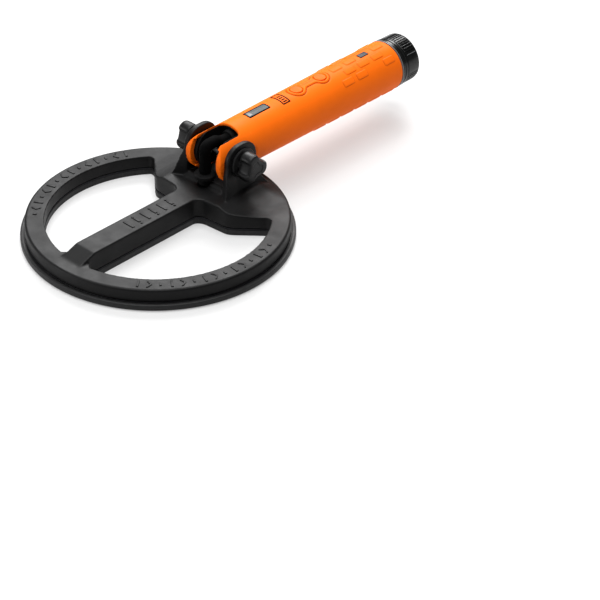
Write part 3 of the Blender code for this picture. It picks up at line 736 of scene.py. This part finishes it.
def build_knobs():
    """The two thumb knobs, and the pressure collar between each knob and its ear."""
    for name, side in (("left", -1), ("right", 1)):
        neck = [(0.05, 24.62), (6.2, 24.62), (6.6, 24.9), (6.6, 26.5), (0.05, 26.6)]
        neck = lathe("neck", [(r, side * h) for r, h in neck], "X", PIVOT, 64)
        grip = [(0.05, 26.2), (0.62, 26.2), (0.86, 26.35), (0.95, 26.9), (0.99, 27.8), (1.0, 29.0)]
        grip += [(1.0, 33.8), (0.985, 35.4), (0.95, 36.5), (0.89, 37.15), (0.8, 37.4), (0.55, 37.4)]
        grip += [(0.5, 37.1), (0.05, 37.05)]
        grip = lathe("grip", [(r, side * h) for r, h in grip], "X", PIVOT, 180, shape_of=knob_radius)
        knob = join([neck, grip], "knob_" + name + "_skin")
        finish(knob, "knob_black", "knob_" + name, ["knob_" + name], 24)

        inner, outer = STUD_HOLE, COLLAR_RADIUS
        profile = [(inner, 22.72), (outer - 0.2, 22.72), (outer, 22.9), (outer, 23.7), (outer - 0.5, 24.25)]
        profile.append((inner, 24.3))
        profile = [(r, side * h) for r, h in profile]
        collar = lathe("knob_collar_" + name + "_skin", profile, "X", PIVOT, 96, True)
        finish(collar, "knob_black", "coil", ["knob_collar_" + name], 40)


def build_liners():
    """Black cheeks let into the inner faces of the fork."""
    rear = SLOT_REAR - 0.4
    for name, side in (("left", -1), ("right", 1)):
        outline = arc((PIVOT_Y, PIVOT_Z), LINER_RADIUS, 90, 270, 48)
        outline += [(rear, PIVOT_Z - LINER_RADIUS), (rear, PIVOT_Z + LINER_RADIUS)]
        low, high = sorted((side * LINER_INNER, side * (LINER_SEAT - 0.05)))
        liner = extrude("fork_liner_" + name + "_skin", outline, low, high, "X")
        boolean(liner, [rod("limit", 16.9, 30, 90, "Y", AXIS, 96)], "INTERSECT")
        boolean(liner, [rod("hole", BUSH_RADIUS, -30, 30)], "DIFFERENCE")
        bevel(liner, 0.5, 3)
        finish(liner, "moulded_black", "handle", ["fork_liner_" + name])


def build_cable():
    """The moulded elbow of the coil's cable."""
    route = [(GLAND_Y, 30.0 + i) for i in range(1, 18)]
    route += sweep((GLAND_Y, 47.4), (GLAND_Y, 52.6), (53.4, 52.6), 12)
    route += [(54.6, 52.6), (56.0, 52.6), (57.4, 52.6)]
    route += sweep((58.8, 52.6), (63.8, 49.5), (68.2, 49.5), 12) + [(69.6, 49.5), (71.2, 49.5)]
    route = [(y, z) for y, z in route if z >= CABLE_START]
    sections = []
    count = 40
    for i, (y, z) in enumerate(route):
        ahead = route[min(i + 1, len(route) - 1)]
        behind = route[max(i - 1, 0)]
        dy, dz = ahead[0] - behind[0], ahead[1] - behind[1]
        size = math.hypot(dy, dz)
        across = -dz / size * CABLE_RADIUS, dy / size * CABLE_RADIUS
        angles = [2 * math.pi * k / count for k in range(count)]
        ring = [(CABLE_RADIUS * math.cos(a), y + math.sin(a) * across[0], z + math.sin(a) * across[1])
                for a in angles]
        sections.append(ring)
    cable = loft("coil_cable_skin", sections)
    finish(cable, "cable_rubber", None, ["coil_cable"], 50)
    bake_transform(cable)


# ---------------------------------------------------------------- handle

HANDLE_FRONT = node_box("handle_shell")[0][1]
HANDLE_REAR = node_box("handle_shell")[1][1]
HANDLE_BORE = 16.0
BORE_START = 70.0
FRONT_RADIUS = 18.1
TAPER = 1.7
AXIS = (0, 0, PIVOT_Z)
FORK_HALF = 11.3
FORK_SIDE = 17.9
FORK_FLAT_END = 84.0
CHEEK_SIDE = 17.75
SLOT_REAR = 73.6
SLOT_CORNER = 3.4
BUSH_RADIUS = 5.1
WASHER_RADIUS = 9.6
WASHER_DEPTH = 16.9
LINER_RADIUS = 14.7
LINER_INNER = 9.5
LINER_SEAT = 13.0
SEAT_HALF = 11.2
VOXEL_HANDLE = 0.42
BUTTONS = {name: middle(name + "_button", 1) for name in ("function", "power")}
BUTTON_RADIUS = 4.8
BUTTON_HOLE = 5.1
PAD_END = 7.2
# half width, front, rear, floor
DISPLAY_POCKET = (3.9, 91.2, 112.8, 59.0)
LENS_POCKET = (2.6, 213.5, 222.7, 60.2)
TILE_ROW = 7.7
TILE_STEP = 15.2
EVEN_ROW_START = 187.8
ODD_ROW_START = 195.6
TILE_HALF = (2.7, 5.3)
TILE_HEIGHT = 0.44
RELIEF_FRONT = 86
SKIN_DEPTH = 0.45


def handle_radius(y):
    """The handle widens slowly to the rear."""
    return FRONT_RADIUS + TAPER * (y - HANDLE_FRONT) / (HANDLE_REAR - HANDLE_FRONT)


def smooth_step(value, low, high):
    """0 up to low, 1 from high on, and an even rise between them."""
    t = max(0.0, min(1.0, (value - low) / (high - low)))
    return t * t * (3 - 2 * t)


def rounded_box(u, v, half_u, half_v, corner):
    """Distance outside a rounded rectangle, negative inside."""
    du, dv = abs(u) - half_u + corner, abs(v) - half_v + corner
    return math.hypot(max(du, 0), max(dv, 0)) + min(max(du, dv), 0) - corner


def grip_tiles():
    """Centres of the raised grip tiles, on top and underneath, as (arc length from the top, y)."""
    tiles = []
    for row in [-2, -1, 0, 1, 2] + [side * r for r in (6, 7, 8) for side in (-1, 1)]:
        even = row % 2 == 0
        start = EVEN_ROW_START if even else ODD_ROW_START
        first = -2 if abs(row) > 2 else 0
        for i in range(first, 4 if even else 3):
            if i == 2 and row in (-2, 0, 2):
                continue
            tiles.append((row * TILE_ROW, start + TILE_STEP * i))
    return tiles


TILES = grip_tiles()


def pad_distance(u, y):
    """Distance outside the dog-bone round the two buttons, whose ends and bar meet in a soft corner."""
    centre = (BUTTONS["function"] + BUTTONS["power"]) / 2
    ends = min(math.hypot(u, y - c) - PAD_END for c in BUTTONS.values())
    bar = rounded_box(u, y - centre, 2.6, 12.0, 0.5)
    blend = 2.4
    near = max(blend - abs(ends - bar), 0.0) / blend
    return min(ends, bar) - near * near * blend * 0.25


def relief(u, y):
    """Height of the relief on the handle at an arc length from the top and a place along the axis."""
    height = 0.0
    for tile_u, tile_y in TILES:
        if abs(u - tile_u) < 6 and abs(y - tile_y) < 9:
            distance = rounded_box(u - tile_u, y - tile_y, *TILE_HALF, 0.9)
            height = max(height, TILE_HEIGHT * (1 - smooth_step(distance, -0.4, 0.15)))
    distance = pad_distance(u, y)
    if distance < 2.0:
        rim = 1 - smooth_step(abs(distance + 0.9), 0.5, 1.1)
        height = max(height, 0.45 * rim, 0.12 * (1 - smooth_step(distance, -0.9, 0.0)))
        if distance > 0.2:
            height -= 0.5 * (1 - smooth_step(abs(distance - 0.75), 0.2, 0.6))
    return height


def raise_relief(mesh):
    """Moves the outer surface of the handle out by the relief."""
    for vertex in mesh.vertices:
        x, y, z = (c / MM for c in vertex.co)
        if y < RELIEF_FRONT:
            continue
        radius = math.hypot(x, z - PIVOT_Z)
        if radius < handle_radius(y) - SKIN_DEPTH:
            continue
        angle = math.atan2(x, z - PIVOT_Z)
        grown = relief(angle * handle_radius(y), y)
        if grown:
            scale = (radius + grown) / radius
            vertex.co = (x * scale * MM, vertex.co.y, (PIVOT_Z + (z - PIVOT_Z) * scale) * MM)
    mesh.update()


def fork_cheek(side):
    """The flat round lower half of one fork ear."""
    outline = arc((PIVOT_Y, PIVOT_Z), PIVOT_Y - HANDLE_FRONT, 178, 362, 60)
    low, high = sorted((side * LINER_SEAT, side * CHEEK_SIDE))
    cheek = extrude("cheek", outline, low, high, "X")
    return boolean(cheek, [rod("hole", WASHER_RADIUS, -30, 30, steps=64)], "DIFFERENCE")


def build_handle_shell():
    """The orange grip: a tapered tube with a rounded fork in front, and its relief."""
    front, rear = HANDLE_FRONT - 1, HANDLE_REAR
    rear_radius = handle_radius(rear)
    profile = [(0.02, BORE_START), (HANDLE_BORE, BORE_START), (HANDLE_BORE, rear), (rear_radius - 0.3, rear)]
    profile += [(rear_radius, rear - 0.4), (handle_radius(BORE_START), BORE_START), (FRONT_RADIUS, front)]
    profile.append((0.02, front))
    shell = lathe("handle_shell_skin", profile, "Y", AXIS, 192)

    envelope = arc((PIVOT_Y, PIVOT_Z), PIVOT_Y - HANDLE_FRONT, 92, 268, 60)
    envelope += [(PIVOT_Y, 10), (300, 10), (300, 80), (PIVOT_Y, 80)]
    boolean(shell, [extrude("envelope", envelope, -40, 40, "X")], "INTERSECT")

    corner = SLOT_REAR - SLOT_CORNER
    slot = [(-FORK_HALF, 30), (FORK_HALF, 30)]
    slot += arc((FORK_HALF - SLOT_CORNER, corner), SLOT_CORNER, 0, 88, 10)
    slot += arc((-FORK_HALF + SLOT_CORNER, corner), SLOT_CORNER, 92, 180, 10)
    tools = [extrude("slot", slot, 0, 80)]
    for side in (-1, 1):
        inside, outside = side * FORK_SIDE, side * 40
        flat = [(inside, 30), (outside, 30), (outside, FORK_FLAT_END), (inside, FORK_FLAT_END)]
        tools.append(extrude("flat", flat, 0, 80))
        tools.append(rod("washer_seat", WASHER_RADIUS, side * WASHER_DEPTH, side * 30, steps=64))
    seat = [(30, -SEAT_HALF), (SLOT_REAR, -SEAT_HALF), (SLOT_REAR, SEAT_HALF), (30, SEAT_HALF)]
    seat = [(y, PIVOT_Z + z) for y, z in seat]
    tools.append(extrude("liner_seat", seat, -LINER_SEAT, LINER_SEAT, "X"))
    tools.append(rod("bush", BUSH_RADIUS, -30, 30))
    tools += [rod("hole", BUTTON_HOLE, 50, 80, "Z", (0, y, 0)) for y in BUTTONS.values()]
    for half, low, high, base in (DISPLAY_POCKET, LENS_POCKET):
        outline = [(-half, low), (half, low), (half, high), (-half, high)]
        tools.append(extrude("pocket", outline, base, 80))
    boolean(shell, tools, "DIFFERENCE")
    shell = join([shell, fork_cheek(-1), fork_cheek(1)], "handle_shell_skin")
    soften(shell, VOXEL_HANDLE)
    raise_relief(shell.data)
    finish(shell, "grip_orange", "handle", ["handle_shell", "button_pad"], 60)


def wrapped(name, patches, low, high):
    """Flat patches (u low, u high, y low, y high) laid round the handle, low to high above its surface."""
    shape = bmesh.new()
    for u0, u1, y0, y1 in patches:
        columns = max(1, math.ceil((u1 - u0) / 0.6))
        rings = []
        for i in range(columns + 1):
            u = u0 + (u1 - u0) * i / columns
            ring = []
            for y, height in ((y0, low), (y1, low), (y1, high), (y0, high)):
                angle = u / handle_radius(y)
                radius = handle_radius(y) + height
                place = (radius * math.sin(angle), y, PIVOT_Z + radius * math.cos(angle))
                ring.append(shape.verts.new([c * MM for c in place]))
            rings.append(ring)
        for a, b in zip(rings, rings[1:]):
            for k in range(4):
                shape.faces.new((a[k], a[(k + 1) % 4], b[(k + 1) % 4], b[k]))
        shape.faces.new(rings[0])
        shape.faces.new(list(reversed(rings[-1])))
    bmesh.ops.recalc_face_normals(shape, faces=shape.faces)
    return new_object(name, mesh_from(shape, name))


def frame_patches(half, low, high, line):
    """The four sides of a rectangular outline."""
    return [(-half, half, low, low + line), (-half, half, high - line, high),
            (-half, -half + line, low + line, high - line), (half - line, half, low + line, high - line)]


def build_controls():
    """The display, the icon, the status lens and the two buttons on top of the handle."""
    window = wrapped("display_window_skin", [(-3.2, 3.2, 91.6, 112.4)], -1.0, 0.0)
    finish(window, "window_grey", "handle", ["display_window"])
    surround = wrapped("display_surround", frame_patches(3.8, 91.1, 112.9, 0.75), -1.2, 0.16)
    finish(surround, "icon_dark", "handle")
    bar = wrapped("display_segment", [(-2.4, 2.4, 92.6, 95.6)], -0.3, 0.05)
    finish(bar, "module_dark", "handle")

    bars = (125.5, 128.9)
    lines = frame_patches(7.5, 123.4, 131.0, 1.0)
    lines += [(u - 0.5, u + 0.5, *bars) for u in (-1.9, 0.5, 2.9, 5.1)]
    icon = wrapped("icon_outline", lines, -0.4, 0.16)
    finish(icon, "icon_dark", "handle", ["icon_panel"])
    mark = wrapped("icon_low_mark", [(-5.2, -3.6, 125.6, 128.8)], -0.4, 0.14)
    finish(mark, "button_orange", "handle")

    low, high = node_box("status_lens")
    lens = wrapped("status_lens_skin", [(low[0], high[0], low[1], high[1])], -1.0, 0.2)
    bevel(lens, 0.2, 3)
    finish(lens, "lens_grey", "handle", ["status_lens"])

    edge = BUTTON_RADIUS
    for name, y in BUTTONS.items():
        top = PIVOT_Z + handle_radius(y) + 0.28
        profile = [(0.02, 54.5), (2.2, 54.5), (2.2, 59.0), (edge, 59.0), (edge, top - 0.5)]
        profile += [(edge - 0.15, top - 0.15), (4.2, top), (3.4, top - 0.02), (2.8, top - 0.14)]
        profile += [(1.5, top - 0.2), (0.02, top - 0.2)]
        button = lathe(name + "_button_skin", profile, "Z", (0, y, 0), 64)
        finish(button, "button_orange", name + "_button", [name + "_button"], 50)


# ---------------------------------------------------------------- rear end

RIB_START = 42.0
RIB_SPAN = 66.0
RIB_COUNT = 10
RIB_GROUP = 120.0
RIB_DEPTH = 0.75
RIB_PLACE = (252.4, 263.4)
RIB_LEAST_RADIUS = 17.5
# Place of the painted highlight line on the end cap: its turn in degrees and its radius.
HIGHLIGHT_TURN = 54.0
HIGHLIGHT_RADIUS = 19.36


def ribbed(angle, radius, height):
    """Radius of the cap, with three groups of grip ribs round its side."""
    if radius < RIB_LEAST_RADIUS or not RIB_PLACE[0] <= height <= RIB_PLACE[1]:
        return radius
    turn = (math.degrees(angle) - RIB_START) % RIB_GROUP
    if turn > RIB_SPAN:
        return radius
    pitch = RIB_SPAN / RIB_COUNT
    wave = (turn % pitch) / pitch
    return radius - RIB_DEPTH * smooth_step(abs(wave - 0.5), 0.2, 0.34)


def build_rear_end():
    """The gasket, the threaded collar and the screw cap, with a light line painted on the cap as a highlight at
    the edge of a rib group.
    """
    profile = [(16.0, 244.3), (19.5, 244.3), (19.9, 244.6), (19.9, 245.3), (19.5, 245.6), (16.0, 245.6)]
    gasket = lathe("rear_gasket_skin", profile, "Y", AXIS, 128, True)
    finish(gasket, "gasket_grey", "handle", ["rear_gasket"])
    profile = [(13.2, 245.9), (19.3, 245.9), (19.6, 246.2), (19.6, 247.6), (19.1, 248.0), (19.1, 248.6)]
    profile += [(19.6, 249.0), (19.6, 250.6), (19.2, 251.0), (16.3, 251.0), (16.3, 252.2), (15.0, 252.2)]
    profile += [(15.0, 254.0), (16.3, 254.0), (16.3, 261.3), (13.2, 261.3)]
    collar = lathe("threaded_collar_skin", profile, "Y", AXIS, 128, True)
    finish(collar, "cap_black", "handle", ["threaded_collar"])

    profile = [(0.02, 262.2), (16.6, 262.2), (16.6, 251.4), (18.9, 251.4), (19.3, 251.7), (19.4, 252.1)]
    profile += [(19.4, 252.5), (19.4, 253.2), (19.4, 257.0), (19.4, 262.4), (19.3, 263.3), (18.9, 264.0)]
    profile += [(18.2, 264.5), (17.2, 264.7), (0.02, 264.7)]
    cap = lathe("end_cap_skin", profile, "Y", AXIS, 720, shape_of=ribbed)
    finish(cap, "cap_black", "end_cap", ["end_cap"], 45)

    # Painted highlight: a thin light grey line along the cap, just before the start of a rib group.
    line = [(-0.25, 252.6), (0.25, 252.6), (0.25, 262.6), (-0.25, 262.6)]
    mark = extrude("end_cap_highlight_line", line, HIGHLIGHT_RADIUS, HIGHLIGHT_RADIUS + 0.12)
    place = Matrix.Translation((0, 0, PIVOT_Z * MM)) @ Matrix.Rotation(math.radians(HIGHLIGHT_TURN), 4, "Y")
    mark.data.transform(place)
    finish(mark, "gasket_grey", "end_cap")


def paint_frame():
    """Every CAD node that still shows takes its slot's procedural material."""
    slots = {entry["node"]: entry["material_slot"] for entry in frame["record"]["subparts"]}
    for name, obj in frame["nodes"].items():
        look = LOOKS[slots[name]]
        for entry in obj.material_slots:
            entry.material = look
        if not obj.material_slots:
            obj.data.materials.append(look)


aim_camera()
build_studio()
LOOKS = build_looks()
paint_frame()
build_coil_shell()
build_coil_cover()
build_coil_relief()
build_knobs()
build_liners()
build_cable()
build_handle_shell()
build_controls()
build_rear_end()
